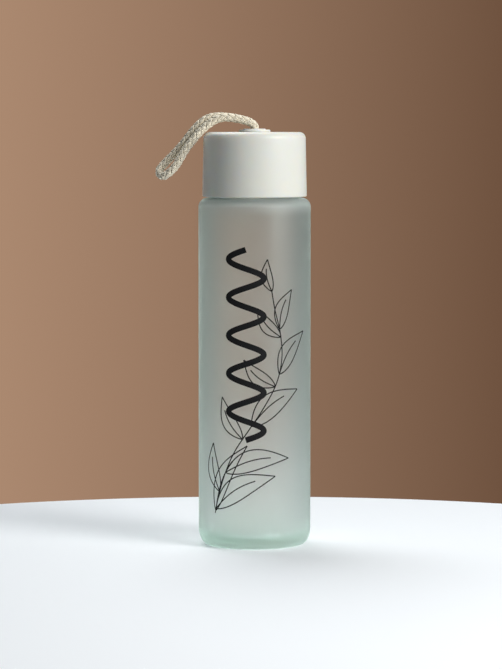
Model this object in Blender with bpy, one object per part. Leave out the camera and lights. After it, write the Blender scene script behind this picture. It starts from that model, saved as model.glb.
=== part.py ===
"""Frosted glass water bottle with a screw cap and a cotton carry loop.

Metres, +Z up.  The origin is the middle of the ring that the bottle stands on, and the carry
loop falls over the cap's edge towards -X.  The cap screws off upwards on a two-start thread.
"""
from math import atan2, cos, hypot, radians, sin, tau

import bmesh
import bpy
from mathutils import Vector

# Driving dimensions
SEGMENTS = 40                    # facets round every large turned piece
GAP = 0.0003                     # left between pieces that touch

BODY_RADIUS = 0.030
BODY_WALL = 0.0026
BASE_CORNER = (0.0046, 0.0089)   # across, up
STANDING_RING_RADIUS = 0.0225
PUNT_RADIUS = 0.019
PUNT_HEIGHT = 0.0020
BASE_THICKNESS = 0.0060
SHOULDER_TOP = 0.1856
SHOULDER_RADIUS = 0.0050

NECK_RADIUS = 0.0226
NECK_BORE_RADIUS = 0.0196
LIP_TOP = 0.2016
BEAD_RADIUS = 0.0236
BEAD_HEIGHT = 0.0020

THREAD_STARTS = 2
THREAD_LEAD = 0.0080
THREAD_TURNS = 0.75
THREAD_FIRST_Z = 0.1924          # where each ridge on the neck begins
THREAD_HEIGHT = 0.0013
THREAD_CREST_WIDTH = 0.0008
THREAD_ROOT_WIDTH = 0.0019
THREAD_ROW = 0.0005              # spacing of the rows that carry a ridge
THREAD_FADE = radians(25)        # a ridge rises from nothing over this angle

CAP_BOTTOM = 0.1862
CAP_TOP = 0.2205
CAP_BOTTOM_RADIUS = 0.02785
CAP_TOP_RADIUS = 0.0273
CAP_CORNER = 0.0035
CAP_INNER_RADIUS = 0.0260
CAP_TOP_WALL = 0.0020
CAP_HOLE_RADIUS = 0.0065

LINER_RADIUS = CAP_INNER_RADIUS - GAP
LINER_BORE_RADIUS = 0.0242
LINER_BOTTOM = 0.1872
LINER_TOP = 0.2052
LINER_PLATE = 0.0016
LINER_THREAD_HEIGHT = 0.0012
PLUG_RADIUS = 0.0191
PLUG_WALL = 0.0017
PLUG_BOTTOM = 0.1976

GASKET_INNER_RADIUS = 0.0198
GASKET_RADIUS = 0.0236

DISC_RADIUS = 0.00845
DISC_TOP = 0.2218
DISC_EDGE = 0.0007
STEM_RADIUS = 0.0061
STEM_BOTTOM = 0.2168
SNAP_BEAD_RADIUS = 0.0070
SNAP_BEAD_LEAD = 0.0003
DISC_BORE_RADIUS = 0.0050

CORD_DIAMETER = 0.0044
STRAND_SPREAD = 0.0048           # between the two strands where they leave the disc
ROOT_TOP = DISC_TOP + 0.0006     # the fixed strands end here and the swinging loop begins
KNOT_RADIUS = 0.0072
KNOT_BOTTOM = 0.2066
KNOT_TOP = 0.2156

# The loop leans over by turning about this line along Y, at the outer side of the strands
LOOP_PIVOT = Vector((0.0025, 0.0, ROOT_TOP))

# Route of the loop, from the near strand's foot round the tip to the far strand's foot
LOOP_ROUTE = [
    (0.0000, -0.0024, 0.2227),
    (0.0000, -0.0024, 0.2231),
    (-0.0003, -0.0024, 0.2239),
    (-0.0012, -0.0024, 0.2249),
    (-0.0030, -0.0024, 0.2259),
    (-0.0058, -0.0024, 0.2268),
    (-0.0108, -0.0023, 0.2278),
    (-0.0163, -0.0023, 0.2282),
    (-0.0208, -0.0022, 0.2269),
    (-0.0244, -0.0021, 0.2247),
    (-0.0273, -0.0020, 0.2224),
    (-0.0300, -0.0020, 0.2196),
    (-0.0330, -0.0021, 0.2160),
    (-0.0362, -0.0024, 0.2119),
    (-0.0391, -0.0029, 0.2073),
    (-0.0418, -0.0033, 0.2028),
    (-0.0448, -0.0030, 0.1995),
    (-0.0476, -0.0017, 0.1975),
    (-0.0495, 0.0003, 0.1972),
    (-0.0507, 0.0023, 0.1986),
    (-0.0505, 0.0036, 0.2008),
    (-0.0480, 0.0040, 0.2038),
    (-0.0429, 0.0034, 0.2089),
    (-0.0384, 0.0026, 0.2139),
    (-0.0344, 0.0021, 0.2190),
    (-0.0302, 0.0020, 0.2239),
    (-0.0263, 0.0021, 0.2271),
    (-0.0220, 0.0022, 0.2285),
    (-0.0164, 0.0023, 0.2287),
    (-0.0108, 0.0023, 0.2280),
    (-0.0058, 0.0024, 0.2269),
    (-0.0030, 0.0024, 0.2259),
    (-0.0012, 0.0024, 0.2249),
    (-0.0003, 0.0024, 0.2239),
    (0.0000, 0.0024, 0.2231),
    (0.0000, 0.0024, 0.2227),
]
ROUTE_STEPS = 2                  # points of the tube for each stretch between route points


def clear_scene():
    for obj in list(bpy.data.objects):
        bpy.data.objects.remove(obj, do_unlink=True)


def make_material(name, colour, roughness, metallic=0.0, transmission=0.0):
    material = bpy.data.materials.new(name)
    material.use_nodes = True
    shader = material.node_tree.nodes["Principled BSDF"]
    shader.inputs["Base Color"].default_value = (*colour, 1.0)
    shader.inputs["Roughness"].default_value = roughness
    shader.inputs["Metallic"].default_value = metallic
    shader.inputs["Transmission Weight"].default_value = transmission
    return material


def add_object(name, data, material, parent=None, location=(0, 0, 0)):
    """Link a piece into the scene at a world location, which its parent doesn't change."""
    data.materials.append(material)
    obj = bpy.data.objects.new(name, data)
    bpy.context.scene.collection.objects.link(obj)
    obj.location = location
    if parent is not None:
        obj.parent = parent
        obj.matrix_parent_inverse.translation = -parent.location
    return obj


def add_axis(name, location, parent=None):
    """An empty on a joint's axis, which the pieces of that body hang from."""
    empty = bpy.data.objects.new(name, None)
    bpy.context.scene.collection.objects.link(empty)
    empty.location = location
    if parent is not None:
        empty.parent = parent
        empty.matrix_parent_inverse.translation = -parent.location
    return empty


def arc(centre, radii, first, last, steps):
    """Points (radius, height) along an elliptical arc between two angles in degrees."""
    angles = [radians(first + (last - first) * i / steps) for i in range(steps + 1)]
    return [(centre[0] + radii[0] * cos(a), centre[1] + radii[1] * sin(a)) for a in angles]


def turned(name, profile, segments=SEGMENTS):
    """Spin an outline of (radius, height) points about Z; it closes on itself or on the axis."""
    bm = bmesh.new()
    verts = [bm.verts.new((radius, 0, height)) for radius, height in profile]
    edges = [bm.edges.new(pair) for pair in zip(verts, verts[1:])]
    if profile[0][0] > 0:
        edges.append(bm.edges.new((verts[-1], verts[0])))
    bmesh.ops.spin(bm, geom=verts + edges, axis=(0, 0, 1), cent=(0, 0, 0), angle=tau,
                   steps=segments, use_merge=True)
    bmesh.ops.remove_doubles(bm, verts=bm.verts, dist=1e-6)
    bmesh.ops.recalc_face_normals(bm, faces=bm.faces)
    mesh = bpy.data.meshes.new(name)
    bm.to_mesh(mesh)
    bm.free()
    return mesh


def smooth(mesh, sharp_angle=30):
    mesh.shade_smooth()
    mesh.set_sharp_from_angle(angle=radians(sharp_angle))


def ridge_at(angle, height, first_z):
    """How much of a thread's full depth there is at a place on its wall, from 0 to 1."""
    depth = 0.0
    for start in range(THREAD_STARTS):
        along = (angle - start * tau / THREAD_STARTS) % tau
        to_end = min(along, THREAD_TURNS * tau - along)
        off_line = abs(height - first_z - THREAD_LEAD * along / tau)
        flank = (THREAD_ROOT_WIDTH / 2 - off_line) * 2 / (THREAD_ROOT_WIDTH - THREAD_CREST_WIDTH)
        depth = max(depth, min(1.0, flank, to_end / THREAD_FADE))
    return depth


def raise_thread(mesh, wall_radius, first_z, depth):
    """Push a wall's rows out, or in if depth is negative, along the thread's ridges."""
    for vertex in mesh.vertices:
        x, y, z = vertex.co
        if abs(hypot(x, y) - wall_radius) < 1e-5:
            radius = wall_radius + depth * ridge_at(atan2(y, x) % tau, z, first_z)
            scale = radius / wall_radius
            vertex.co = (x * scale, y * scale, z)


def thread_rows(radius, low, high):
    """Evenly spaced points up a wall, close enough together to carry a ridge."""
    count = round((high - low) / THREAD_ROW)
    return [(radius, low + (high - low) * i / count) for i in range(count + 1)]


def glass_body(material):
    """One blown piece: thick base, straight wall, short shoulder, and a neck with its thread."""
    punt = [(PUNT_RADIUS * i / 6, PUNT_HEIGHT * (0.5 + 0.5 * cos(radians(30 * i))))
            for i in range(7)]
    corner = arc((BODY_RADIUS - BASE_CORNER[0], BASE_CORNER[1]), BASE_CORNER, -90, 0, 8)
    shoulder_centre = (BODY_RADIUS - SHOULDER_RADIUS, SHOULDER_TOP - SHOULDER_RADIUS)
    shoulder = arc(shoulder_centre, (SHOULDER_RADIUS, SHOULDER_RADIUS), 0, 90, 6)
    root = 0.0008
    neck_root = arc((NECK_RADIUS + root, SHOULDER_TOP + root), (root, root), 270, 180, 3)
    bead_size = (BEAD_RADIUS - NECK_RADIUS, BEAD_HEIGHT / 2)
    bead = arc((NECK_RADIUS, SHOULDER_TOP + 0.0030), bead_size, -90, 90, 6)
    thread_top = THREAD_FIRST_Z + THREAD_LEAD * THREAD_TURNS
    thread = thread_rows(NECK_RADIUS, THREAD_FIRST_Z - 0.0012, thread_top + 0.0013)
    lip = 0.0008
    lip_outside = arc((NECK_RADIUS - lip, LIP_TOP - lip), (lip, lip), 0, 90, 3)
    lip_inside = arc((NECK_BORE_RADIUS + lip, LIP_TOP - lip), (lip, lip), 90, 180, 3)
    inner_corner = SHOULDER_RADIUS - BODY_WALL
    inner_shoulder = arc(shoulder_centre, (inner_corner, inner_corner), 90, 0, 4)
    throat = 0.0020
    throat_centre = (NECK_BORE_RADIUS + throat, SHOULDER_TOP - BODY_WALL + throat)
    throat_curve = arc(throat_centre, (throat, throat), 180, 270, 3)
    heel = (0.0040, 0.0070)
    floor = arc((BODY_RADIUS - BODY_WALL - heel[0], BASE_THICKNESS + heel[1]), heel, 0, -90, 5)
    profile = (punt + corner + shoulder + neck_root + bead + thread + lip_outside + lip_inside
               + throat_curve + inner_shoulder + floor + [(0, BASE_THICKNESS + 0.0008)])
    mesh = turned("glass_body", profile)
    raise_thread(mesh, NECK_RADIUS, THREAD_FIRST_Z, THREAD_HEIGHT)
    smooth(mesh)
    return add_object("glass_body", mesh, material)


def cap_shell(material, axis):
    """The plain outer cover of the cap, with a hole in its top for the cord's disc."""
    corner = arc((CAP_TOP_RADIUS - CAP_CORNER, CAP_TOP - CAP_CORNER), (CAP_CORNER,) * 2, 90, 0, 7)
    rim = 0.0004
    inner = CAP_CORNER - (CAP_TOP_RADIUS - CAP_INNER_RADIUS)
    ceiling = CAP_TOP - CAP_TOP_WALL
    inner_corner = arc((CAP_INNER_RADIUS - inner, ceiling - inner), (inner, inner), 0, 90, 4)
    profile = ([(CAP_HOLE_RADIUS, CAP_TOP)] + corner
               + [(CAP_BOTTOM_RADIUS, CAP_BOTTOM + rim), (CAP_BOTTOM_RADIUS - rim, CAP_BOTTOM),
                  (CAP_INNER_RADIUS, CAP_BOTTOM)]
               + inner_corner + [(CAP_HOLE_RADIUS, ceiling)])
    mesh = turned("cap_shell", profile)
    smooth(mesh)
    return add_object("cap_shell", mesh, material, axis)


def cap_liner(material, axis):
    """The threaded inner cap: it holds the gasket, plugs the neck and closes off the knot."""
    ceiling = LINER_TOP - LINER_PLATE
    chamfer = 0.0006
    # The ridges inside run midway between the ones on the neck
    first_z = THREAD_FIRST_Z - THREAD_LEAD / THREAD_STARTS / 2
    thread_top = first_z + THREAD_LEAD * THREAD_TURNS
    thread = thread_rows(LINER_BORE_RADIUS, first_z - 0.0012, thread_top + 0.0013)
    profile = ([(0, LINER_TOP), (LINER_RADIUS - chamfer, LINER_TOP),
                (LINER_RADIUS, LINER_TOP - chamfer), (LINER_RADIUS, LINER_BOTTOM),
                (LINER_BORE_RADIUS, LINER_BOTTOM)]
               + thread
               + [(LINER_BORE_RADIUS, ceiling), (PLUG_RADIUS, ceiling),
                  (PLUG_RADIUS, PLUG_BOTTOM + chamfer), (PLUG_RADIUS - chamfer, PLUG_BOTTOM),
                  (PLUG_RADIUS - PLUG_WALL, PLUG_BOTTOM), (PLUG_RADIUS - PLUG_WALL, ceiling),
                  (0, ceiling)])
    mesh = turned("cap_liner", profile)
    raise_thread(mesh, LINER_BORE_RADIUS, first_z, -LINER_THREAD_HEIGHT)
    smooth(mesh)
    return add_object("cap_liner", mesh, material, axis)


def seal_gasket(material, axis):
    """A flat silicone ring with rounded edges, between the lip and the liner's ceiling."""
    low = LIP_TOP + GAP
    high = LINER_TOP - LINER_PLATE - GAP
    edge = (high - low) / 2
    outside = arc((GASKET_RADIUS - edge, low + edge), (edge, edge), 90, -90, 6)
    inside = arc((GASKET_INNER_RADIUS + edge, low + edge), (edge, edge), 270, 90, 6)
    mesh = turned("seal_gasket", outside + inside)
    smooth(mesh)
    return add_object("seal_gasket", mesh, material, axis)


def cord_disc(material, axis):
    """The small round ferrule on top of the cap, snapped into it, which the cord passes through."""
    under = CAP_TOP + GAP
    ledge = CAP_TOP - CAP_TOP_WALL - GAP
    edge = arc((DISC_RADIUS - DISC_EDGE, DISC_TOP - DISC_EDGE), (DISC_EDGE,) * 2, 90, 0, 4)
    mouth = 0.0004
    profile = ([(DISC_BORE_RADIUS + mouth, DISC_TOP)] + edge
               + [(DISC_RADIUS, under), (STEM_RADIUS, under), (STEM_RADIUS, ledge),
                  (SNAP_BEAD_RADIUS, ledge - SNAP_BEAD_LEAD), (STEM_RADIUS, STEM_BOTTOM),
                  (DISC_BORE_RADIUS, STEM_BOTTOM), (DISC_BORE_RADIUS, DISC_TOP - mouth)])
    mesh = turned("cord_disc", profile, 32)
    smooth(mesh)
    return add_object("cord_disc", mesh, material, axis)


def upright_cylinder(name, radius, low, high, sides, x=0.0, y=0.0, bevel=0.0):
    """A closed cylinder between two heights, its rims rounded by bevel."""
    bm = bmesh.new()
    bmesh.ops.create_cone(bm, cap_ends=True, segments=sides, radius1=radius, radius2=radius,
                          depth=high - low)
    if bevel:
        rims = [e for e in bm.edges if abs(e.verts[0].co.z - e.verts[1].co.z) < 1e-6]
        bmesh.ops.bevel(bm, geom=rims, offset=bevel, segments=4, profile=0.5, affect="EDGES")
    bmesh.ops.translate(bm, verts=bm.verts, vec=(x, y, (low + high) / 2))
    mesh = bpy.data.meshes.new(name)
    bm.to_mesh(mesh)
    bm.free()
    return mesh


def cord_knot(material, axis):
    """The knot in the cap's hollow, with the two strands that rise from it through the disc."""
    mesh = upright_cylinder("cord_knot", KNOT_RADIUS, KNOT_BOTTOM, KNOT_TOP, 24, bevel=0.0023)
    smooth(mesh)
    knot = add_object("cord_knot", mesh, material, axis)
    for number, side in enumerate((-1, 1), start=1):
        name = f"strand_guide_{number}"
        middle = (KNOT_BOTTOM + KNOT_TOP) / 2
        strand = upright_cylinder(name, CORD_DIAMETER / 2, middle, ROOT_TOP, 12,
                                  y=side * STRAND_SPREAD / 2)
        guide = add_object(name, strand, material, axis)
        guide.hide_render = True
        guide.display_type = "WIRE"
        joined = knot.modifiers.new(f"strand_{number}", "BOOLEAN")
        joined.operation = "UNION"
        joined.object = guide
    return knot


def smooth_route(route, steps):
    """Points on a smooth curve through the route's own points (Catmull-Rom)."""
    points = [Vector(p) for p in route]
    ends = [2 * points[0] - points[1]] + points + [2 * points[-1] - points[-2]]
    curve = []
    for a, b, c, d in zip(ends, ends[1:], ends[2:], ends[3:]):
        for i in range(steps):
            t = i / steps
            curve.append(0.5 * (2 * b + (c - a) * t + (2 * a - 5 * b + 4 * c - d) * t * t
                                + (3 * b - a - 3 * c + d) * t ** 3))
    return curve + [points[-1]]


def carry_loop(material, pivot):
    """The free part of the cord: one loop, both of whose strands start just above the disc."""
    curve = bpy.data.curves.new("carry_loop", "CURVE")
    curve.dimensions = "3D"
    curve.bevel_depth = CORD_DIAMETER / 2
    curve.bevel_resolution = 3
    curve.use_fill_caps = True
    spline = curve.splines.new("POLY")
    points = smooth_route(LOOP_ROUTE, ROUTE_STEPS)
    spline.points.add(len(points) - 1)
    for point, place in zip(spline.points, points):
        point.co = (*(place - LOOP_PIVOT), 1.0)
    return add_object("carry_loop", curve, material, pivot, LOOP_PIVOT)


def build():
    clear_scene()
    glass = make_material("frosted_glass", (0.70, 0.76, 0.72), 0.45, transmission=0.6)
    white_plastic = make_material("white_polypropylene", (0.86, 0.87, 0.84), 0.38)
    liner_plastic = make_material("natural_polypropylene", (0.80, 0.81, 0.79), 0.45)
    silicone = make_material("clear_silicone", (0.82, 0.83, 0.82), 0.5)
    cotton = make_material("cotton_cord", (0.78, 0.73, 0.63), 0.9)

    # The cap turns about the bottle's own axis, so its empty stands at the origin
    cap_axis = add_axis("cap_axis", (0, 0, 0))
    loop_axis = add_axis("loop_axis", LOOP_PIVOT, cap_axis)

    glass_body(glass)
    seal_gasket(silicone, cap_axis)
    cap_liner(liner_plastic, cap_axis)
    cap_shell(white_plastic, cap_axis)
    cord_disc(white_plastic, cap_axis)
    cord_knot(cotton, cap_axis)
    carry_loop(cotton, loop_axis)


build()
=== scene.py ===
"""Looks of a frosted glass water bottle with a white screw cap and a braided cotton carry loop.

The packed CAD model is the fixed frame.  Each operator makes one piece, or one group of like
pieces, in the same place as the CAD piece that it stands for.
"""
from math import atan2, cos, pi, radians, sin, tau

import bmesh
import bpy
import numpy as np
from bpy.props import FloatProperty, FloatVectorProperty, IntProperty, PointerProperty
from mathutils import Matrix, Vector


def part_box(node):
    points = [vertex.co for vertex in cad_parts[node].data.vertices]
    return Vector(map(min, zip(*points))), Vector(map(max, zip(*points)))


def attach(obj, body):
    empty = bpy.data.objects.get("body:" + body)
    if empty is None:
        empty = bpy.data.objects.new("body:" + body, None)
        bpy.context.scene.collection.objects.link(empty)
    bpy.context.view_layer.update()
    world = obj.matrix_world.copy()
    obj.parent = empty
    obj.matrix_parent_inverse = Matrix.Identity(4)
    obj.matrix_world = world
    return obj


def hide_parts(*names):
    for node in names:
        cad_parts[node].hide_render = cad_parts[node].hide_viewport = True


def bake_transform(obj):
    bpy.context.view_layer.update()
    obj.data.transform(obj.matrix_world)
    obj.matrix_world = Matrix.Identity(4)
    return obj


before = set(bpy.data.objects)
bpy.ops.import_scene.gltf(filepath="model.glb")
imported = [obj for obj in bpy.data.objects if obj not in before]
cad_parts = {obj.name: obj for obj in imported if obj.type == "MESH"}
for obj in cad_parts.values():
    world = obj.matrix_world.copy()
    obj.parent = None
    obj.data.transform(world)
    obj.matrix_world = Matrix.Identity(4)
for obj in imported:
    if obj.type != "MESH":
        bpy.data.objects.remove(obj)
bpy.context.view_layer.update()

bl_info = {
    "name": "Frosted Glass Bottle",
    "version": (1, 0, 0),
    "blender": (4, 5, 0),
    "location": "3D View > Sidebar > Bottle",
    "description": "Makes a frosted glass bottle, its screw cap and its braided carry loop",
    "category": "Add Mesh",
}

MM = 0.001
GLASS_LOW, GLASS_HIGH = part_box("glass_body")
SHELL_LOW, SHELL_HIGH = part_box("cap_shell")
LINER_LOW, LINER_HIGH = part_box("cap_liner")
GASKET_LOW, GASKET_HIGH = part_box("seal_gasket")
DISC_LOW, DISC_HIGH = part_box("cord_disc")

# Route of the carry loop's middle line, from the near strand's foot round the tip to the far one's
LOOP_ROUTE = [
    (0.0000, -0.0024, 0.2227),
    (0.0000, -0.0024, 0.2231),
    (-0.0003, -0.0024, 0.2239),
    (-0.0012, -0.0024, 0.2249),
    (-0.0030, -0.0024, 0.2259),
    (-0.0058, -0.0024, 0.2268),
    (-0.0108, -0.0023, 0.2278),
    (-0.0163, -0.0023, 0.2282),
    (-0.0208, -0.0022, 0.2269),
    (-0.0244, -0.0021, 0.2247),
    (-0.0273, -0.0020, 0.2224),
    (-0.0300, -0.0020, 0.2196),
    (-0.0330, -0.0021, 0.2160),
    (-0.0362, -0.0024, 0.2119),
    (-0.0391, -0.0029, 0.2073),
    (-0.0418, -0.0033, 0.2028),
    (-0.0448, -0.0030, 0.1995),
    (-0.0476, -0.0017, 0.1975),
    (-0.0495, 0.0003, 0.1972),
    (-0.0507, 0.0023, 0.1986),
    (-0.0505, 0.0036, 0.2008),
    (-0.0480, 0.0040, 0.2038),
    (-0.0429, 0.0034, 0.2089),
    (-0.0384, 0.0026, 0.2139),
    (-0.0344, 0.0021, 0.2190),
    (-0.0302, 0.0020, 0.2239),
    (-0.0263, 0.0021, 0.2271),
    (-0.0220, 0.0022, 0.2285),
    (-0.0164, 0.0023, 0.2287),
    (-0.0108, 0.0023, 0.2280),
    (-0.0058, 0.0024, 0.2269),
    (-0.0030, 0.0024, 0.2259),
    (-0.0012, 0.0024, 0.2249),
    (-0.0003, 0.0024, 0.2239),
    (0.0000, 0.0024, 0.2231),
    (0.0000, 0.0024, 0.2227),
]


# ---------------------------------------------------------------- shared helpers

def linear(hex_colour):
    """An sRGB hex colour as linear red, green and blue."""
    values = [int(hex_colour[i:i + 2], 16) / 255 for i in (1, 3, 5)]
    return [v / 12.92 if v <= 0.04045 else ((v + 0.055) / 1.055) ** 2.4 for v in values]


def length_prop(name, description, default):
    return FloatProperty(name=name, description=description, default=default, min=0.0,
                         unit="LENGTH", precision=5)


def share_prop(name, description, default):
    return FloatProperty(name=name, description=description, default=default, min=0.0, max=1.0,
                         subtype="FACTOR")


def colour_prop(name, description, hex_colour):
    return FloatVectorProperty(name=name, description=description, size=3, subtype="COLOR",
                               min=0.0, max=1.0, default=linear(hex_colour))


def add_node(tree, kind, values=None, links=None, **settings):
    """One shader node with its settings, socket values and incoming links."""
    made = tree.nodes.new(kind)
    for key, value in settings.items():
        setattr(made, key, value)
    for socket, value in (values or {}).items():
        made.inputs[socket].default_value = value
    for socket, source in (links or {}).items():
        tree.links.new(source, made.inputs[socket])
    return made


def start_material(name, colour, values):
    """A material whose Principled shader has these socket values; returns it, tree and shader."""
    material = bpy.data.materials.new(name)
    material.use_nodes = True
    tree = material.node_tree
    shader = tree.nodes["Principled BSDF"]
    shader.inputs["Base Color"].default_value = (*colour, 1.0)
    for socket, value in values.items():
        shader.inputs[socket].default_value = value
    return material, tree, shader


def object_noise(tree, size, detail=3.0, roughness=0.55, stretch=(1, 1, 1)):
    """Noise whose blobs are about size metres across, fixed to the piece itself."""
    place = add_node(tree, "ShaderNodeTexCoord")
    scaled = add_node(tree, "ShaderNodeMapping", {"Scale": stretch},
                      {"Vector": place.outputs["Object"]})
    return add_node(tree, "ShaderNodeTexNoise",
                    {"Scale": 1 / size, "Detail": detail, "Roughness": roughness},
                    {"Vector": scaled.outputs["Vector"]})


def add_bump(tree, shader, height, distance, strength=1.0):
    bump = add_node(tree, "ShaderNodeBump", {"Distance": distance, "Strength": strength},
                    {"Height": height})
    tree.links.new(bump.outputs["Normal"], shader.inputs["Normal"])


def vary_colour(tree, shader, factor, low, high):
    """Base colour that runs between two colours with a factor from 0 to 1."""
    mix = add_node(tree, "ShaderNodeMix", data_type="RGBA")
    mix.inputs["A"].default_value = (*low, 1.0)
    mix.inputs["B"].default_value = (*high, 1.0)
    tree.links.new(factor, mix.inputs["Factor"])
    tree.links.new(mix.outputs["Result"], shader.inputs["Base Color"])
    return mix


def spread_factor(tree, value, low, high, to_low=0.0, to_high=1.0):
    """A value's range from low to high spread over another, and held at its ends."""
    return add_node(tree, "ShaderNodeMapRange",
                    {"From Min": low, "From Max": high, "To Min": to_low, "To Max": to_high},
                    {"Value": value}).outputs["Result"]


def arc(centre, radii, first, last, steps):
    """Points (radius, height) along an elliptical arc between two angles in degrees."""
    angles = [radians(first + (last - first) * i / steps) for i in range(steps + 1)]
    return [(centre[0] + radii[0] * cos(a), centre[1] + radii[1] * sin(a)) for a in angles]


def rows_between(radius, low, high, step):
    """Evenly spaced points up a wall."""
    count = max(1, round((high - low) / step))
    return [(radius, low + (high - low) * i / count) for i in range(count + 1)]


def add_piece(name, mesh, materials, body, replaced=()):
    """Links a finished mesh into the scene as a piece that rides on a CAD body."""
    for material in materials:
        mesh.materials.append(material)
    piece = bpy.data.objects.new(name, mesh)
    bpy.context.scene.collection.objects.link(piece)
    if body:
        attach(piece, body)
    if replaced:
        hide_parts(*replaced)
    return piece


def lathe(name, profile, segments, polished_from=None, wall=None):
    """Turn an outline of (radius, height) points about Z into a closed, smooth mesh.

    Rows from number polished_from on are marked as polished.  wall moves a point of the outline
    in or out by angle and height, which is how a thread is raised.
    """
    bm = bmesh.new()
    polished = bm.verts.layers.float.new("polished")
    closed = profile[0][0] > 0
    rows = []
    for number, (radius, height) in enumerate(profile):
        if radius < 1e-9:
            row = [bm.verts.new((0, 0, height))] * segments
        else:
            row = []
            for i in range(segments):
                angle = tau * i / segments
                r = wall(radius, angle, height) if wall else radius
                row.append(bm.verts.new((r * cos(angle), r * sin(angle), height)))
        for vert in row:
            vert[polished] = float(polished_from is not None and number >= polished_from)
        rows.append(row)
    spans = list(zip(rows, rows[1:])) + ([(rows[-1], rows[0])] if closed else [])
    for a, b in spans:
        for i in range(segments):
            j = (i + 1) % segments
            corners = [a[i], a[j], b[j], b[i]]
            bm.faces.new(list(dict.fromkeys(corners))).smooth = True
    bmesh.ops.recalc_face_normals(bm, faces=bm.faces)
    mesh = bpy.data.meshes.new(name)
    bm.to_mesh(mesh)
    bm.free()
    mesh.set_sharp_from_angle(angle=radians(40))
    return mesh


def eased(x):
    """0 to 1 with level ends."""
    x = max(0.0, min(1.0, x))
    return x * x * (3 - 2 * x)


def thread_depth(angle, height, first_z, thread):
    """How much of a thread's full depth there is at a place on its wall, from 0 to 1."""
    depth = 0.0
    turns = thread.thread_turns * tau
    for start in range(thread.thread_starts):
        along = (angle - start * tau / thread.thread_starts) % tau
        to_end = min(along, turns - along)
        if to_end <= 0:
            continue
        off_line = abs(height - first_z - thread.thread_lead * along / tau)
        flank = (thread.thread_root - 2 * off_line) / (thread.thread_root - thread.thread_crest)
        depth = max(depth, eased(flank) * eased(to_end / radians(22)))
    return depth


def smooth_route(route, steps):
    """Points on a smooth curve through the route's own points (Catmull-Rom)."""
    points = [Vector(p) for p in route]
    ends = [2 * points[0] - points[1]] + points + [2 * points[-1] - points[-2]]
    curve = []
    for a, b, c, d in zip(ends, ends[1:], ends[2:], ends[3:]):
        for i in range(steps):
            t = i / steps
            curve.append(0.5 * (2 * b + (c - a) * t + (2 * a - 5 * b + 4 * c - d) * t * t
                                + (3 * b - a - 3 * c + d) * t ** 3))
    return np.array([list(p) for p in curve + [points[-1]]])


def evenly(line, step):
    """The same line with points step apart."""
    along = np.concatenate([[0], np.cumsum(np.linalg.norm(np.diff(line, axis=0), axis=1))])
    at = np.linspace(0, along[-1], int(along[-1] / step) + 1)
    return np.stack([np.interp(at, along, line[:, k]) for k in range(3)], axis=1), at


def unit(vectors):
    return vectors / np.linalg.norm(vectors, axis=-1, keepdims=True)


def untwisted_frames(line):
    """Two directions across a line at each point, carried along it without twist."""
    tangent = unit(np.gradient(line, axis=0))
    across = np.zeros_like(line)
    across[0] = unit(np.cross(tangent[0], (1.0, 0.0, 0.0)))
    for i in range(1, len(line)):
        carried = across[i - 1] - tangent[i] * (across[i - 1] @ tangent[i])
        across[i] = unit(carried)
    return tangent, across, np.cross(tangent, across)


# ---------------------------------------------------------------- settings

class GlassSettings(bpy.types.PropertyGroup):
    """The bottle's glass: what the CAD box doesn't give."""
    tint: colour_prop("Tint", "What a thick stretch of the glass lets through", "#8CC9B2")
    skin: colour_prop("Skin", "The faint green of each etched face", "#FDFFFE")
    roughness: share_prop("Etch", "How dull the etched outside is", 0.66)
    polish: share_prop("Polish", "How dull the fire-polished inside is", 0.04)
    depth: FloatProperty(name="Depth", description="How fast the tint deepens, for each metre",
                         default=24.0, min=0.0)
    haze: share_prop("Haze", "Share of light that the etch scatters evenly", 0.03)
    glow: share_prop("Glow", "Share of a lamp's light that each etched face passes on", 0.5)
    # Painted light: the shoulder and the base let less light through, so they look whiter, as where
    # light falls on them
    shoulder_clear_painted_light: share_prop("Shoulder clear", "Share of light let in at the shoulder", 0.87)
    base_clear_painted_light: share_prop("Base clear", "Share of light let in round the base", 0.86)
    wall: length_prop("Wall", "Thickness of the straight wall", 0.0026)
    base: length_prop("Base", "Thickness of the glass at the floor", 0.0060)
    base_corner_across: length_prop("Base corner across", "Width of the base's rounding", 0.0046)
    base_corner_up: length_prop("Base corner up", "Height of the base's rounding", 0.0089)
    punt: length_prop("Punt", "Rise of the hollow under the base", 0.0020)
    punt_radius: length_prop("Punt radius", "Where the hollow meets the standing ring", 0.0190)
    shoulder: length_prop("Shoulder", "Radius of the shoulder", 0.0050)
    shoulder_top: length_prop("Shoulder top", "Height of the flat above the shoulder", 0.1856)
    neck: length_prop("Neck", "Outside radius of the neck", 0.0226)
    bore: length_prop("Bore", "Inside radius of the neck", 0.0196)
    lip: length_prop("Lip", "Rounding of the lip", 0.0013)
    bead: length_prop("Bead", "How far the neck's bead stands out", 0.0010)
    thread_starts: IntProperty(name="Starts", description="Ridges round the neck",
                               default=2, min=1, max=4)
    thread_turns: FloatProperty(name="Turns", description="Turns of each ridge",
                                default=0.75, min=0.1, max=0.95)
    thread_lead: length_prop("Lead", "Rise of the thread in one turn", 0.0080)
    thread_first: length_prop("First ridge", "Height where each ridge on the neck begins", 0.1924)
    thread_height: length_prop("Ridge height", "How far a ridge stands out", 0.0012)
    thread_crest: length_prop("Ridge crest", "Width of a ridge's top", 0.0006)
    thread_root: length_prop("Ridge root", "Width of a ridge's foot", 0.0020)


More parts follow.
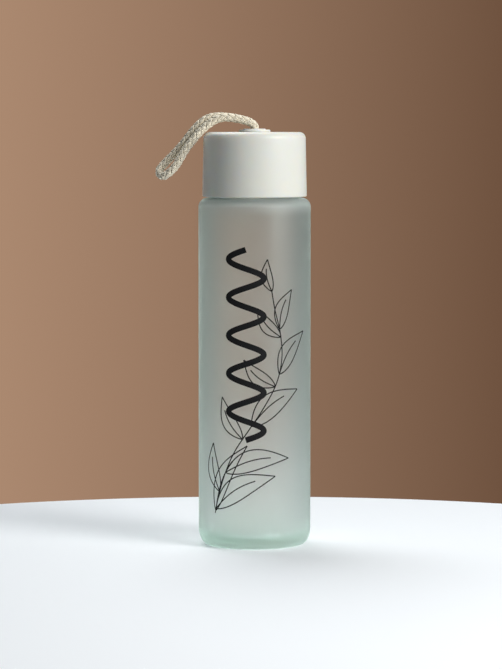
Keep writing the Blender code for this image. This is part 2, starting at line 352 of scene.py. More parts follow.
class PrintSettings(bpy.types.PropertyGroup):
    """The decoration printed on the glass."""
    ink: colour_prop("Ink", "Colour of the printed ink", "#0C0C0E")
    film: length_prop("Film", "Thickness of the ink", 0.00004)
    wave_middle: FloatProperty(name="Wave middle", description="Where the wave runs, round the wall",
                               default=-0.0047, unit="LENGTH", precision=5)
    wave_low: length_prop("Wave low end", "Height of the wave's lower end", 0.0586)
    wave_high: length_prop("Wave high end", "Height of the wave's upper end", 0.1590)
    wave_swing: length_prop("Wave swing", "How far the wave swings to each side", 0.0096)
    wave_stroke: length_prop("Wave stroke", "Width of the wave's line", 0.0031)
    wave_count: IntProperty(name="Waves", description="Full waves along the band",
                            default=5, min=1, max=12)
    line_stroke: length_prop("Line stroke", "Width of the sprig's thin lines", 0.00060)


class CapSettings(bpy.types.PropertyGroup):
    """The screw cap's plastics and its gasket."""
    shell: colour_prop("Shell", "Colour of the outer cap", "#F1F1EA")
    liner: colour_prop("Liner", "Colour of the inner cap", "#E4E6E2")
    gasket: colour_prop("Gasket", "Colour of the silicone", "#E3E5E3")
    milk: share_prop("Milk", "Share of light that passes right through the plastic", 0.22)
    corner: length_prop("Corner", "Radius of the shell's top edge", 0.0035)
    draft: length_prop("Draft", "How much narrower the shell is at its top", 0.00055)
    shell_inside: length_prop("Shell inside", "Inside radius of the shell", 0.0260)
    top_wall: length_prop("Top wall", "Thickness of the shell's top", 0.0020)
    cord_hole: length_prop("Cord hole", "Radius of the hole in the shell's top", 0.0065)
    liner_bore: length_prop("Liner bore", "Radius of the liner's threaded wall", 0.0242)
    liner_plate: length_prop("Liner plate", "Thickness of the liner's top", 0.0016)
    plug: length_prop("Plug", "Outside radius of the skirt that plugs the neck", 0.0191)
    plug_wall: length_prop("Plug wall", "Thickness of that skirt", 0.0017)
    plug_depth: length_prop("Plug depth", "How far the skirt reaches down", 0.0060)
    gasket_inside: length_prop("Gasket inside", "Inside radius of the gasket", 0.0198)


class CordSettings(bpy.types.PropertyGroup):
    """The braided cotton cord and the disc that it comes out of."""
    cotton: colour_prop("Cotton", "Colour of the cotton's lit side", "#F5EEDD")
    # Painted shade: the brown that the cotton darkens to deep between the yarns
    painted_gap_shade: colour_prop("Gaps", "Colour deep between the yarns", "#86694A")
    diameter: length_prop("Diameter", "Diameter of the cord", 0.0044)
    plait: length_prop("Plait", "Length in which a yarn winds once round the cord", 0.0150)
    yarns: IntProperty(name="Yarns", description="Yarns that wind each way", default=4, min=2, max=8)
    swing: length_prop("Swing", "How far a yarn dips and rises at its crossings", 0.00036)
    thread: length_prop("Thread", "Radius of one thread of a yarn", 0.00036)
    disc_bore: length_prop("Disc bore", "Radius of the hole that the cord comes through", 0.0050)
    disc_stem: length_prop("Disc stem", "Radius of the disc's stem inside the cap", 0.0061)


class StageSettings(bpy.types.PropertyGroup):
    """The floor, backdrop, lights and camera."""
    floor: colour_prop("Floor", "Colour of the floor", "#F1F4F7")
    floor_radius: length_prop("Floor radius", "Radius of the round floor", 0.35)
    floor_back: length_prop("Floor back", "How far the floor reaches behind the bottle", 0.19)
    backdrop_left: colour_prop("Backdrop left", "Backdrop behind the bottle, towards -X", "#AB8970")
    backdrop_right: colour_prop("Backdrop right", "Backdrop behind the bottle, towards +X",
                                "#6E523F")
    room: colour_prop("Room", "The rest of the studio, all round and above", "#4A4D50")
    eye_height: length_prop("Eye height", "Height of the camera above the floor", 0.2244)
    eye_distance: length_prop("Eye distance", "From the camera to the bottle's axis", 1.518)
    eye_across: FloatProperty(name="Eye across", description="How far the camera stands to +X",
                              default=-0.0019, unit="LENGTH", precision=5)
    aim_height: length_prop("Aim height", "Height on the axis that the camera aims at", 0.1123)
    lens: FloatProperty(name="Lens", description="Focal length on a 36 mm long side",
                        default=152.9, min=10.0, subtype="DISTANCE_CAMERA")


GROUPS = {"bottle_glass": GlassSettings, "bottle_print": PrintSettings,
          "bottle_cap": CapSettings, "bottle_cord": CordSettings, "bottle_stage": StageSettings}


# ---------------------------------------------------------------- materials

def etched_glass(settings):
    """Soda-lime glass, acid-etched outside and fire-polished inside: a satin skin that blurs and
    whitens what is behind it, with a green body colour where the glass is thick."""
    material, tree, shader = start_material("acid_etched_soda_glass", settings.skin, {
        "IOR": 1.52})
    polished = add_node(tree, "ShaderNodeAttribute", attribute_name="polished")
    roughness = spread_factor(tree, polished.outputs["Fac"], 0, 1,
                              settings.roughness, settings.polish)
    tree.links.new(roughness, shader.inputs["Roughness"])
    # Less light is let through on the shoulder and round the base, so they are whiter there: painted
    # light, for the light that the shoulder catches from above and the base gathers from the floor
    place = add_node(tree, "ShaderNodeTexCoord")
    split = add_node(tree, "ShaderNodeSeparateXYZ", links={"Vector": place.outputs["Object"]})
    height = split.outputs["Z"]
    shoulder = spread_factor(tree, height, settings.shoulder_top - 9 * MM,
                             settings.shoulder_top - MM, 1.0, settings.shoulder_clear_painted_light)
    base = spread_factor(tree, height, 2 * MM, settings.base + 8 * MM, settings.base_clear_painted_light, 1.0)
    clear = add_node(tree, "ShaderNodeMath", links={0: shoulder, 1: base}, operation="MULTIPLY")
    tree.links.new(clear.outputs["Value"], shader.inputs["Transmission Weight"])
    # The etch's grain is about 0.05 mm; it is drawn at 0.3 mm so that it shows at all
    grain = object_noise(tree, 0.3 * MM, detail=2.0)
    add_bump(tree, shader, grain.outputs["Fac"], 0.01 * MM, 0.5)
    absorb = add_node(tree, "ShaderNodeVolumeAbsorption",
                      {"Color": (*settings.tint, 1.0), "Density": settings.depth})
    output = tree.nodes["Material Output"]
    tree.links.new(absorb.outputs["Volume"], output.inputs["Volume"])
    # The etch also scatters a little light evenly
    haze = add_node(tree, "ShaderNodeBsdfTranslucent", {"Color": (0.9, 0.93, 0.92, 1.0)})
    satin = add_node(tree, "ShaderNodeMixShader", {"Fac": settings.haze})
    tree.links.new(shader.outputs["BSDF"], satin.inputs[1])
    tree.links.new(haze.outputs["BSDF"], satin.inputs[2])
    # An etched wall passes much of a lamp's light on as a soft glow, so its shadow is pale
    path = add_node(tree, "ShaderNodeLightPath")
    glow = add_node(tree, "ShaderNodeBsdfTransparent", {"Color": (settings.glow,) * 3 + (1.0,)})
    lamps = add_node(tree, "ShaderNodeMixShader", links={"Fac": path.outputs["Is Shadow Ray"]})
    tree.links.new(satin.outputs["Shader"], lamps.inputs[1])
    tree.links.new(glow.outputs["BSDF"], lamps.inputs[2])
    tree.links.new(lamps.outputs["Shader"], output.inputs["Surface"])
    return material


def printed_ink(settings):
    """Screen-printed ceramic ink, fired on: a dense black film with a low sheen and faint mottle."""
    material, tree, shader = start_material("fired_screen_ink", settings.ink, {
        "Roughness": 0.5, "IOR": 1.5, "Specular IOR Level": 0.22})
    mottle = object_noise(tree, 0.8 * MM)
    lighter = [min(1.0, c * 1.8 + 0.004) for c in settings.ink]
    vary_colour(tree, shader, mottle.outputs["Fac"], settings.ink, lighter)
    add_bump(tree, shader, mottle.outputs["Fac"], 0.01 * MM, 0.4)
    return material


def moulded_polypropylene(name, colour, roughness, depth, milk):
    """Injection-moulded polypropylene: a milky white that light enters a little way, under a soft
    sheen with the faint orange peel of the mould.  milk is the share that passes right through."""
    material, tree, shader = start_material(name, colour, {
        "Roughness": roughness, "IOR": 1.49, "Subsurface Weight": 1.0,
        "Subsurface Radius": (1.0, 0.86, 0.68), "Subsurface Scale": depth})
    cloud = object_noise(tree, 9 * MM, detail=2.0)
    darker = [c * 0.965 for c in colour]
    vary_colour(tree, shader, cloud.outputs["Fac"], darker, colour)
    # The wall lets some light right through, warmer than it came
    through = add_node(tree, "ShaderNodeBsdfTranslucent", {"Color": (0.98, 0.93, 0.84, 1.0)})
    milky = add_node(tree, "ShaderNodeMixShader", {"Fac": milk})
    tree.links.new(shader.outputs["BSDF"], milky.inputs[1])
    tree.links.new(through.outputs["BSDF"], milky.inputs[2])
    tree.links.new(milky.outputs["Shader"], tree.nodes["Material Output"].inputs["Surface"])
    # Orange peel: waves about 0.7 mm across and a few microns high
    peel = object_noise(tree, 0.7 * MM, detail=2.0)
    add_bump(tree, shader, peel.outputs["Fac"], 0.006 * MM, 0.6)
    return material


def cured_silicone(colour):
    """Moulded silicone rubber: milky, slightly see-through and matt, with a fine dust of talc."""
    material, tree, shader = start_material("cured_silicone", colour, {
        "Roughness": 0.55, "IOR": 1.41, "Subsurface Weight": 0.7,
        "Subsurface Radius": (1.0, 1.0, 0.95), "Subsurface Scale": 0.9 * MM})
    dust = object_noise(tree, 0.5 * MM, detail=4.0)
    add_bump(tree, shader, dust.outputs["Fac"], 0.01 * MM, 0.5)
    return material


def spun_cotton(settings):
    """Undyed cotton yarn, plied and braided: matt and fuzzy, cream on its crowns and a painted shade
    of brown deep in the gaps between the yarns, with flecks of seed."""
    material, tree, shader = start_material("braided_cotton_yarn", settings.cotton, {
        "Roughness": 0.92, "Specular IOR Level": 0.2, "Sheen Weight": 0.35,
        "Sheen Roughness": 0.5})
    # Painted shade: the deeper a point lies in the braid, the nearer its colour is to the brown gap
    # shade
    depth = add_node(tree, "ShaderNodeAttribute", attribute_name="crown")
    blotch = object_noise(tree, 2.5 * MM, detail=4.0)
    tired = [c * f for c, f in zip(settings.cotton, (0.86, 0.82, 0.74))]
    crown = spread_factor(tree, depth.outputs["Fac"], 0.1, 0.6)
    tone = vary_colour(tree, shader, blotch.outputs["Fac"], tired, settings.cotton)
    mix = add_node(tree, "ShaderNodeMix", data_type="RGBA")
    mix.inputs["A"].default_value = (*settings.painted_gap_shade, 1.0)
    tree.links.new(tone.outputs["Result"], mix.inputs["B"])
    tree.links.new(crown, mix.inputs["Factor"])
    tree.links.new(mix.outputs["Result"], shader.inputs["Base Color"])
    # Fibres lie along each thread: 0.05 mm thick, drawn at 0.12 mm so that they show
    place = add_node(tree, "ShaderNodeUVMap", uv_map="thread")
    along = add_node(tree, "ShaderNodeMapping", {"Scale": (1.2, 9.0, 1.0), "Rotation": (0, 0, 0.5)},
                     {"Vector": place.outputs["UV"]})
    fibre = add_node(tree, "ShaderNodeTexNoise", {"Scale": 2.0, "Detail": 3.0},
                     {"Vector": along.outputs["Vector"]})
    add_bump(tree, shader, fibre.outputs["Fac"], 0.12 * MM, 0.4)
    return material


def painted_board(settings):
    """The floor: matt white paint on board, with the faintest roller texture."""
    material, tree, shader = start_material("matt_painted_board", settings.floor, {
        "Roughness": 0.8})
    roller = object_noise(tree, 1.5 * MM, detail=3.0)
    add_bump(tree, shader, roller.outputs["Fac"], 0.05 * MM, 0.25)
    return material


# ---------------------------------------------------------------- pieces

class BOTTLE_OT_glass(bpy.types.Operator):
    """Make the glass body with its thick base, neck and thread"""
    bl_idname = "bottle.glass"
    bl_label = "Glass Body"
    bl_options = {"REGISTER", "UNDO"}

    def execute(self, context):
        s = context.scene.bottle_glass
        outside, inside = glass_outline(s, GLASS_HIGH.x, GLASS_HIGH.z)

        def wall(radius, angle, height):
            ridge = abs(radius - s.neck) < 1e-6 and height > s.thread_first - 2 * MM
            return radius + ridge * s.thread_height * thread_depth(
                angle, height, s.thread_first, s)

        mesh = lathe("etched_bottle", outside + inside, 144, len(outside) - 1, wall)
        add_piece("etched_bottle", mesh, [etched_glass(s)], "bottle",
                  ["glass_body"])
        return {"FINISHED"}


def glass_outline(s, radius, lip_top):
    """The outside of the glass from its middle up to the lip, and the inside back down."""
    steps = 14
    punt = [(s.punt_radius * i / steps, s.punt * (0.5 + 0.5 * cos(pi * i / steps)))
            for i in range(steps + 1)]
    corner = arc((radius - s.base_corner_across, s.base_corner_up),
                 (s.base_corner_across, s.base_corner_up), -90, 0, 16)
    side = rows_between(radius, s.base_corner_up + MM, s.shoulder_top - s.shoulder - MM, 12 * MM)
    shoulder_centre = (radius - s.shoulder, s.shoulder_top - s.shoulder)
    shoulder = arc(shoulder_centre, (s.shoulder, s.shoulder), 0, 90, 14)
    root = 0.8 * MM
    neck_root = arc((s.neck + root, s.shoulder_top + root), (root, root), 270, 180, 5)
    bead = arc((s.neck, s.shoulder_top + 3 * MM), (s.bead, 1 * MM), -90, 90, 12)
    thread_top = s.thread_first + s.thread_lead * s.thread_turns
    thread = rows_between(s.neck, s.thread_first - 1.2 * MM, thread_top + 1.3 * MM, 0.2 * MM)
    lip_out = arc((s.neck - s.lip, lip_top - s.lip), (s.lip, s.lip), 0, 90, 8)
    lip_in = arc((s.bore + s.lip, lip_top - s.lip), (s.lip, s.lip), 90, 180, 8)
    throat = 2 * MM
    throat_curve = arc((s.bore + throat, s.shoulder_top - s.wall + throat),
                       (throat, throat), 180, 270, 8)
    inner = s.shoulder - s.wall
    inner_shoulder = arc(shoulder_centre, (inner, inner), 90, 0, 8)
    heel = (4 * MM, 7 * MM)
    floor = arc((radius - s.wall - heel[0], s.base + heel[1]), heel, 0, -90, 12)
    outside = punt + corner + side + shoulder + neck_root + bead + thread + lip_out
    return outside, lip_in + throat_curve + inner_shoulder + floor + [(0, s.base + 0.8 * MM)]


class BOTTLE_OT_print(bpy.types.Operator):
    """Make the decoration: a bold wave up the wall, crossed by a thin line-drawn sprig"""
    bl_idname = "bottle.print"
    bl_label = "Printed Decoration"
    bl_options = {"REGISTER", "UNDO"}

    def execute(self, context):
        s = context.scene.bottle_print
        ink = printed_ink(s)
        wave = [band_wave(s, i / 240) for i in range(241)]
        mesh = ink_mesh("printed_wave", [(wave, s.wave_stroke)], GLASS_HIGH.x, s.film)
        add_piece("printed_wave", mesh, [ink], "bottle")
        lines = [(line, s.line_stroke) for line in sprig_lines()]
        mesh = ink_mesh("printed_sprig", lines, GLASS_HIGH.x, s.film)
        add_piece("printed_sprig", mesh, [ink], "bottle")
        return {"FINISHED"}


def band_wave(s, t):
    """A point (round the wall, up) of the bold wave."""
    return (s.wave_middle + s.wave_swing * sin(tau * s.wave_count * t),
            s.wave_low + (s.wave_high - s.wave_low) * t)


def flat_curve(points, steps):
    """A smooth flat line through (across, up) points given in millimetres."""
    route = smooth_route([(x * MM, 0.0, z * MM) for x, z in points], steps)
    return [(p[0], p[2]) for p in route]


STEM = [(-23, 19), (-21, 27), (-17, 39), (-11, 52), (-3, 64), (5, 76), (12, 89), (15, 102),
        (14, 115), (11, 127), (9, 138)]
# Each leaf: place up the stem from 0 to 1, heading in degrees, length and width in millimetres
LEAVES = [(0.02, 62, 40, 9), (0.03, 28, 38, 12), (0.13, 100, 26, 8), (0.22, 12, 36, 11),
          (0.36, 118, 25, 8), (0.42, 35, 33, 12), (0.58, 140, 22, 8), (0.63, 52, 28, 10),
          (0.78, 130, 20, 7), (0.82, 70, 22, 8), (0.99, 98, 17, 6)]


def sprig_lines():
    """The sprig's stem, and each leaf's outline and midrib, as flat lines."""
    stem = flat_curve(STEM, 12)
    lines = [stem]
    for place, heading, length, width in LEAVES:
        root = stem[round(place * (len(stem) - 1))]
        lines += leaf_lines(root, radians(heading), length * MM, width * MM)
    return lines


def leaf_lines(root, heading, length, width):
    """One leaf: two sides that meet at its tip, bowed a little, and a midrib that stops short."""
    sides = []
    steps = 28
    for side, share in ((-1, 1.0), (1, 1.0), (0, 0.72)):
        line = []
        for i in range(steps + 1):
            t = share * i / steps
            bow = 0.10 * length * sin(pi * t)
            out = side * 0.5 * width * sin(pi * t ** 0.8) + bow
            line.append((root[0] + t * length * cos(heading) - out * sin(heading),
                         root[1] + t * length * sin(heading) + out * cos(heading)))
        sides.append(line)
    return sides


def ink_mesh(name, lines, radius, film):
    """Flat lines laid round the wall as thin closed strips of ink with square edges."""
    bm = bmesh.new()
    for line, stroke in lines:
        flat = np.array(line)
        along = unit(np.gradient(flat, axis=0))
        normal = np.stack([-along[:, 1], along[:, 0]], axis=1)
        edges = [flat + normal * stroke / 2, flat - normal * stroke / 2]
        rings = []
        for left, right in zip(*edges):
            ring = []
            for (round_wall, up), r in ((left, radius - film / 2), (left, radius + film),
                                        (right, radius + film), (right, radius - film / 2)):
                angle = round_wall / radius
                ring.append(bm.verts.new((r * sin(angle), -r * cos(angle), up)))
            rings.append(ring)
        for a, b in zip(rings, rings[1:]):
            for i in range(4):
                j = (i + 1) % 4
                bm.faces.new((a[i], a[j], b[j], b[i]))
        bm.faces.new(rings[0][::-1])
        bm.faces.new(rings[-1])
    bmesh.ops.recalc_face_normals(bm, faces=bm.faces)
    mesh = bpy.data.meshes.new(name)
    bm.to_mesh(mesh)
    bm.free()
    return mesh


class BOTTLE_OT_cap(bpy.types.Operator):
    """Make the cap's shell, its threaded liner and the gasket"""
    bl_idname = "bottle.cap"
    bl_label = "Cap, Liner and Gasket"
    bl_options = {"REGISTER", "UNDO"}

    def execute(self, context):
        s = context.scene.bottle_cap
        glass = context.scene.bottle_glass
        shell = moulded_polypropylene("moulded_white_polypropylene", s.shell, 0.36, 1.6 * MM,
                                      s.milk)
        mesh = lathe("cap_cover", shell_outline(s), 144)
        add_piece("cap_cover", mesh, [shell], "cap", ["cap_shell"])

        natural = moulded_polypropylene("moulded_natural_polypropylene", s.liner, 0.45, 1.2 * MM,
                                        s.milk)
        first_z = glass.thread_first - glass.thread_lead / glass.thread_starts / 2

        def wall(radius, angle, height):
            threaded = abs(radius - s.liner_bore) < 1e-6
            return radius - threaded * glass.thread_height * thread_depth(
                angle, height, first_z, glass)

        mesh = lathe("threaded_liner", liner_outline(s, glass, first_z), 144, wall=wall)
        add_piece("threaded_liner", mesh, [natural], "cap", ["cap_liner"])

        edge = (GASKET_HIGH.z - GASKET_LOW.z) / 2
        middle = GASKET_LOW.z + edge
        ring = (arc((GASKET_HIGH.x - edge, middle), (edge, edge), 90, -90, 12)
                + arc((s.gasket_inside + edge, middle), (edge, edge), 270, 90, 12))
        mesh = lathe("lip_gasket", ring, 144)
        add_piece("lip_gasket", mesh, [cured_silicone(s.gasket)], "seal",
                  ["seal_gasket"])
        return {"FINISHED"}


def shell_outline(s):
    """The shell's section, from its hole outwards, down the side, and back up the inside."""
    top, bottom, widest = SHELL_HIGH.z, SHELL_LOW.z, SHELL_HIGH.x
    narrow = widest - s.draft
    corner = arc((narrow - s.corner, top - s.corner), (s.corner, s.corner), 90, 0, 16)
    rim = 0.45 * MM
    rim_out = arc((widest - rim, bottom + rim), (rim, rim), 0, -90, 5)
    rim_in = arc((s.shell_inside + rim, bottom + rim), (rim, rim), -90, -180, 5)
    inner = s.corner - (narrow - s.shell_inside)
    ceiling = top - s.top_wall
    inner_corner = arc((s.shell_inside - inner, ceiling - inner), (inner, inner), 0, 90, 8)
    edge = 0.3 * MM
    hole = arc((s.cord_hole + edge, top - edge), (edge, edge), 180, 90, 4)
    side = rows_between(narrow, top - s.corner - MM, top - s.corner - 2 * MM, MM)
    return (hole + corner + side[:1] + rim_out + rim_in + inner_corner
            + [(s.cord_hole, ceiling)])


def liner_outline(s, glass, first_z):
    """The liner's section: top plate, outer wall, threaded bore, and the skirt that plugs the neck."""
    top, bottom, radius = LINER_HIGH.z, LINER_LOW.z, LINER_HIGH.x
    ceiling = top - s.liner_plate
    skirt_end = ceiling - s.plug_depth
    r = 0.5 * MM
    thread_top = first_z + glass.thread_lead * glass.thread_turns
    thread = rows_between(s.liner_bore, first_z - 1.2 * MM, thread_top + 1.3 * MM, 0.2 * MM)
    inside = s.plug - s.plug_wall
    return ([(0, top), (radius - 3 * MM, top)] + arc((radius - r, top - r), (r, r), 90, 0, 4)
            + arc((radius - r, bottom + r), (r, r), 0, -90, 4)
            + arc((s.liner_bore + r, bottom + r), (r, r), -90, -180, 4)
            + thread + [(s.liner_bore, ceiling), (s.plug, ceiling)]
            + arc((s.plug - r, skirt_end + r), (r, r), 0, -90, 4)
            + arc((inside + r, skirt_end + r), (r, r), -90, -180, 4)
            + [(inside, ceiling), (0, ceiling)])


class BOTTLE_OT_cord(bpy.types.Operator):
    """Make the disc on the cap, the braided carry loop and its knot"""
    bl_idname = "bottle.cord"
    bl_label = "Disc, Carry Loop and Knot"
    bl_options = {"REGISTER", "UNDO"}

    def execute(self, context):
        s = context.scene.bottle_cord
        cap = context.scene.bottle_cap
        shell = bpy.data.materials["moulded_white_polypropylene"]
        mesh = lathe("cord_ferrule", disc_outline(s, cap), 96)
        add_piece("cord_ferrule", mesh, [shell], "cap", ["cord_disc"])

        cotton = spun_cotton(s)
        foot = Vector((0, 0, 3 * MM))
        route = [Vector(p) for p in LOOP_ROUTE]
        route = [route[0] - foot] + route + [route[-1] - foot]
        line, _ = evenly(smooth_route(route, 12), 0.35 * MM)
        mesh = braid_mesh("braided_carry_loop", line, s)
        loop = add_piece("braided_carry_loop", mesh, [cotton], None,
                         ["carry_loop"])
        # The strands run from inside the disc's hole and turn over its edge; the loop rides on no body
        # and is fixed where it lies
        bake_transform(loop)
        mesh = braid_mesh("braided_knot", knot_line(), s, thin=0.62)
        knot = add_piece("braided_knot", mesh, [cotton], "cap", ["cord_knot"])

        return {"FINISHED"}


def disc_outline(s, cap):
    """The disc's section: a thin rounded flange, a raised lip round its hole, a stem and a bead."""
    top, radius = DISC_HIGH.z, DISC_HIGH.x
    edge = 0.75 * MM
    lip = 0.5 * MM
    ledge = SHELL_HIGH.z - cap.top_wall - 0.3 * MM
    hole_lip = arc((s.disc_bore + lip, top), (lip, lip), 180, 0, 8)
    flange = arc((radius - edge, top - edge), (edge, edge), 90, 0, 6)
    under = SHELL_HIGH.z + 0.02 * MM
    return (hole_lip + flange + [(radius, under), (s.disc_stem, under), (s.disc_stem, ledge),
            (s.disc_stem + 0.8 * MM, ledge - 0.4 * MM), (s.disc_stem, DISC_LOW.z),
            (s.disc_bore, DISC_LOW.z)])


def knot_line():
    """The cord inside the cap: down one strand, two and a half turns round both, and up the other."""
    top = LOOP_ROUTE[0][2] - 3.4 * MM
    spread = LOOP_ROUTE[-1][1]
    down = [(0, -spread, top), (0, -0.9 * spread, top - 3 * MM), (0, -0.7 * spread, top - 6 * MM),
            (0, -0.6 * spread, top - 10 * MM)]
    turns = []
    count, wound, radius, rise = 18, 2.5, 5.0 * MM, 0.36 * MM
    for i in range(count + 1):
        angle = tau * wound * i / count - pi / 2
        turns.append((radius * cos(angle), radius * sin(angle), top - 10.2 * MM + rise * i))
    up = [(0, spread, top - 2.6 * MM), (0, spread, top)]
    return evenly(smooth_route(down + turns + up, 8), 0.4 * MM)[0]


def braid_mesh(name, line, s, thin=1.0):
    """Eight flat yarns braided round a core, each over one and under one, three threads to a yarn.

    The yarns wind opposite ways in two sets of four, and swap from crown to gap at each crossing.
    """
    rng = np.random.default_rng(7)
    tangent, across, beside = untwisted_frames(line)
    s_along = np.concatenate([[0], np.cumsum(np.linalg.norm(np.diff(line, axis=0), axis=1))])
    length = s_along[-1]
    outer = s.diameter / 2 * thin
    thread = s.thread * thin
    swing = s.swing * thin
    middle = outer - swing - thread
    parts = []
    for way in (-1, 1):
        for k in range(s.yarns):
            turn = way * tau * s_along / s.plait + k * tau / s.yarns
            turn = turn + 0.06 * np.sin(tau * s_along / (9 * MM) + rng.uniform(0, tau))
            crossing = np.cos(tau * s.yarns * s_along / s.plait)
            # A yarn stays up or down for most of its way and changes quickly at each crossing
            height = middle + way * swing * np.tanh(1.6 * crossing) / np.tanh(1.6)
            height = height * (1 + 0.02 * np.sin(tau * s_along / (7 * MM) + rng.uniform(0, tau)))
            out = np.cos(turn)[:, None] * across + np.sin(turn)[:, None] * beside
            yarn = line + height[:, None] * out
            heading = unit(np.gradient(yarn, axis=0))
            sideways = unit(np.cross(heading, out))
            rise = unit(np.cross(sideways, heading))
            spacing = 1.62 * thread * (1 + 0.05 * rng.uniform(-1, 1))
            for lane in (-1, 0, 1):
                lift = (0.06 * MM * thin) * (1 - abs(lane))
                centre = yarn + sideways * (lane * spacing) + rise * lift
                size = thread * rng.uniform(0.94, 1.06)
                parts.append((centre, sideways, rise, size))
    # The core lies deep in the braid, so it takes the painted gap shade
    core = (line, across, beside, middle - swing + 0.1 * MM)
    parts.append(core)
    return tubes_mesh(name, parts, line, outer, length, rng)


def tubes_mesh(name, parts, line, outer, length, rng):
    """Closed tubes round their middle lines, with how near the surface each point lies."""
    sides = 6
    verts, faces, crowns, uvs = [], [], [], []
    base = 0
    for centre, sideways, rise, size in parts:
        count = len(centre)
        for i in range(sides):
            angle = tau * i / sides
            verts.append(centre + size * (cos(angle) * sideways + sin(angle) * rise))
        ring = np.stack(verts[-sides:], axis=1)
        del verts[-sides:]
        verts.append(ring.reshape(-1, 3))
        off = np.linalg.norm(ring - line[:, None, :], axis=2)
        # How near the cord's surface each point lies; this drives the cotton's painted gap shade
        crowns.append(np.clip((off / outer - 0.45) / 0.55, 0, 1).ravel())
        along = np.linspace(0, length / MM, count)
        for a in range(count - 1):
            for i in range(sides):
                j = (i + 1) % sides
                faces.append((base + a * sides + i, base + a * sides + j,
                              base + (a + 1) * sides + j, base + (a + 1) * sides + i))
                uvs.append(((along[a], i), (along[a], i + 1),
                            (along[a + 1], i + 1), (along[a + 1], i)))
        faces.append(tuple(base + i for i in reversed(range(sides))))
        faces.append(tuple(base + (count - 1) * sides + i for i in range(sides)))
        uvs += [((0, 0),) * sides] * 2
        base += count * sides
    mesh = bpy.data.meshes.new(name)
    mesh.from_pydata(np.concatenate(verts).tolist(), [], faces)
    layer = mesh.uv_layers.new(name="thread")
    layer.data.foreach_set("uv", np.array([c for f in uvs for c in f], np.float32).ravel())
    crown = mesh.attributes.new("crown", "FLOAT", "POINT")
    crown.data.foreach_set("value", np.concatenate(crowns).astype(np.float32))
    mesh.shade_smooth()
    return mesh


# ---------------------------------------------------------------- stage

class BOTTLE_OT_stage(bpy.types.Operator):
    """Make the floor, the backdrop's colour, the lights and the camera"""
    bl_idname = "bottle.stage"
    bl_label = "Stage"
    bl_options = {"REGISTER", "UNDO"}

    def execute(self, context):
        s = context.scene.bottle_stage
        bm = bmesh.new()
        bmesh.ops.create_circle(bm, cap_ends=True, segments=160, radius=s.floor_radius)
        mesh = bpy.data.meshes.new("floor")
        bm.to_mesh(mesh)
        bm.free()
        mesh.materials.append(painted_board(s))
        floor = bpy.data.objects.new("floor", mesh)
        floor.location = (0, s.floor_back - s.floor_radius, -0.1 * MM)
        context.scene.collection.objects.link(floor)
        backdrop(context.scene, s)
        middle = Vector((0, 0, GLASS_HIGH.z / 2))
        # name, azimuth round from the camera towards +X, elevation, distance, size, watts, colour
        for name, azimuth, elevation, distance, size, watts, colour in (
                ("key", 51, 28, 1.1, 0.62, 12.2, (1.0, 1.0, 0.99)),
                ("back", 202, 60, 1.2, 0.9, 10.5, (0.95, 0.98, 1.0))):
            area_light(name, middle, radians(azimuth), radians(elevation), distance, size,
                       watts, colour)
        camera = bpy.data.cameras.new("camera")
        camera.sensor_width = 36
        camera.lens = s.lens
        viewer = bpy.data.objects.new("camera", camera)
        viewer.location = (s.eye_across, -s.eye_distance, s.eye_height)
        drop = atan2(s.eye_height - s.aim_height, s.eye_distance)
        viewer.rotation_euler = (pi / 2 - drop, 0, 0)
        context.scene.collection.objects.link(viewer)
        context.scene.camera = viewer
        context.scene.view_settings.view_transform = "Standard"
        return {"FINISHED"}


def area_light(name, target, azimuth, elevation, distance, size, watts, colour):
    light = bpy.data.lights.new(name, "AREA")
    light.shape = "DISK"
    light.size = size
    light.energy = watts
    light.color = colour
    lamp = bpy.data.objects.new(name, light)
    back = Vector((sin(azimuth) * cos(elevation), -cos(azimuth) * cos(elevation), sin(elevation)))
    lamp.location = target + distance * back
    lamp.rotation_euler = back.to_track_quat("Z", "Y").to_euler()
    bpy.context.scene.collection.objects.link(lamp)


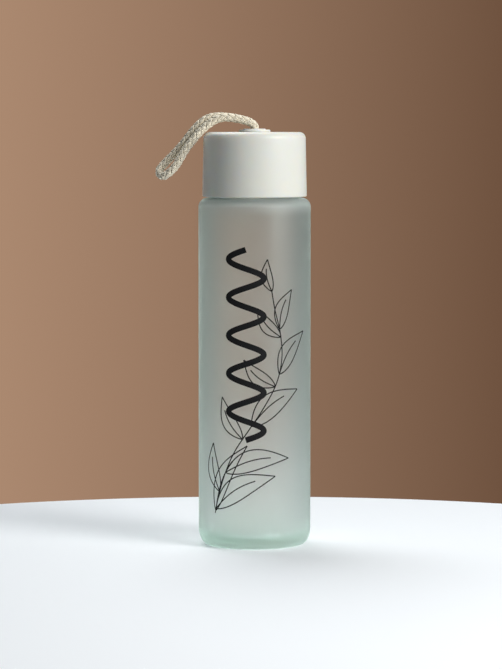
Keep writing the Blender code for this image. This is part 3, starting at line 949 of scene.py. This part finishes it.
def backdrop(scene, s):
    """A plain warm backdrop behind the bottle, darker to the right, in a dim plain room."""
    world = bpy.data.worlds.new("backdrop")
    world.use_nodes = True
    tree = world.node_tree
    place = add_node(tree, "ShaderNodeTexCoord")
    split = add_node(tree, "ShaderNodeSeparateXYZ", links={"Vector": place.outputs["Generated"]})
    # The view takes in about 5 degrees to each side, which is 0.09 of a direction's length
    view_edge = 0.09
    across = spread_factor(tree, split.outputs["X"], -view_edge, view_edge)
    sheet = add_node(tree, "ShaderNodeMix", data_type="RGBA")
    sheet.inputs["A"].default_value = (*s.backdrop_left, 1.0)
    sheet.inputs["B"].default_value = (*s.backdrop_right, 1.0)
    tree.links.new(across, sheet.inputs["Factor"])
    behind = spread_factor(tree, split.outputs["Y"], 0.75, 0.95)
    mix = add_node(tree, "ShaderNodeMix", data_type="RGBA")
    mix.inputs["A"].default_value = (*s.room, 1.0)
    tree.links.new(sheet.outputs["Result"], mix.inputs["B"])
    tree.links.new(behind, mix.inputs["Factor"])
    tree.links.new(mix.outputs["Result"], tree.nodes["Background"].inputs["Color"])
    scene.world = world


class BOTTLE_PT_panel(bpy.types.Panel):
    """Lists the bottle's operators and settings"""
    bl_label = "Frosted Glass Bottle"
    bl_space_type = "VIEW_3D"
    bl_region_type = "UI"
    bl_category = "Bottle"

    def draw(self, context):
        for operator in OPERATORS:
            self.layout.operator(operator.bl_idname)
        for group in GROUPS:
            settings = getattr(context.scene, group)
            column = self.layout.column(align=True)
            column.label(text=settings.__doc__)
            for prop in settings.__annotations__:
                column.prop(settings, prop)


OPERATORS = (BOTTLE_OT_glass, BOTTLE_OT_print, BOTTLE_OT_cap, BOTTLE_OT_cord, BOTTLE_OT_stage)


def register():
    for cls in (*GROUPS.values(), *OPERATORS, BOTTLE_PT_panel):
        bpy.utils.register_class(cls)
    for name, group in GROUPS.items():
        setattr(bpy.types.Scene, name, PointerProperty(type=group))


def unregister():
    for name in GROUPS:
        delattr(bpy.types.Scene, name)
    for cls in reversed((*GROUPS.values(), *OPERATORS, BOTTLE_PT_panel)):
        bpy.utils.unregister_class(cls)


def main():
    register()
    bpy.ops.bottle.glass()
    bpy.ops.bottle.print()
    bpy.ops.bottle.cap()
    bpy.ops.bottle.cord()
    bpy.ops.bottle.stage()


if __name__ == "__main__":
    main()
